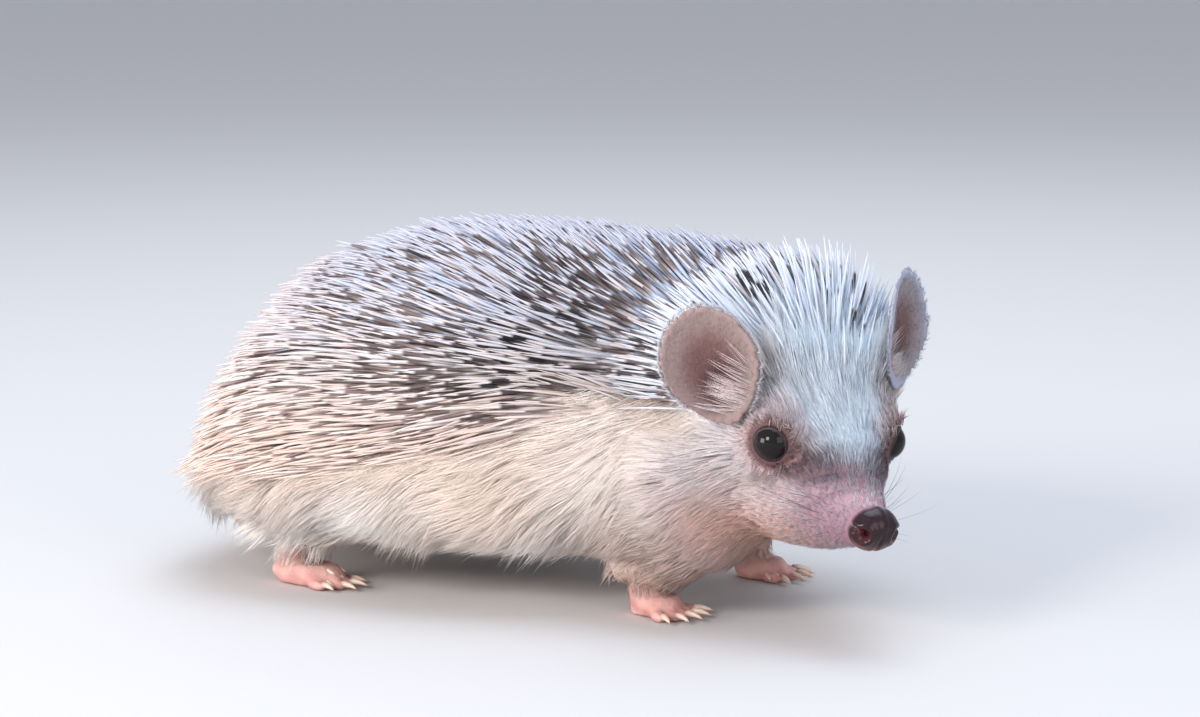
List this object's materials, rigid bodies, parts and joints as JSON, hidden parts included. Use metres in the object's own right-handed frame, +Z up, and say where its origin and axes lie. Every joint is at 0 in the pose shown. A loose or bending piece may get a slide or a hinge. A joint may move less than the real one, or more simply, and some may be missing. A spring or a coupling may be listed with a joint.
{
  "type": "hedgehog model",
  "caption": "Life-size four-toed hedgehog standing low with its head turned to its right: quilled back and crown, furred skirt, pointed snout, round ears and clawed feet.",
  "frame": {"origin": "on the floor at the middle of the animal's footprint box", "axes": "+X towards the head end of the trunk, +Y to the animal's left, +Z up"},
  "size_m": [0.1684, 0.0884, 0.0775],
  "materials": {
    "quilled_coat": "white quills with dark bands",
    "face_fur": "short soft fur",
    "leg_fur": "short thin fur",
    "bare_skin": "soft bare skin",
    "ear_skin": "velvety thin skin",
    "nose_skin": "moist grained skin",
    "eye": "wet and glossy"
  },
  "bodies": {
    "root": {"trunk": "quilled_coat", "neck": "quilled_coat", "head": "face_fur", "jaw": "face_fur", "nose": "nose_skin", "eye_left": "eye", "eye_right": "eye", "ear_left": "ear_skin", "ear_right": "ear_skin", "tail": "bare_skin", "leg_front_left": "leg_fur", "leg_front_right": "leg_fur", "leg_hind_left": "leg_fur", "leg_hind_right": "leg_fur", "foot_front_left": "bare_skin", "foot_front_right": "bare_skin", "foot_hind_left": "bare_skin", "foot_hind_right": "bare_skin"}
  },
  "joints": []
}
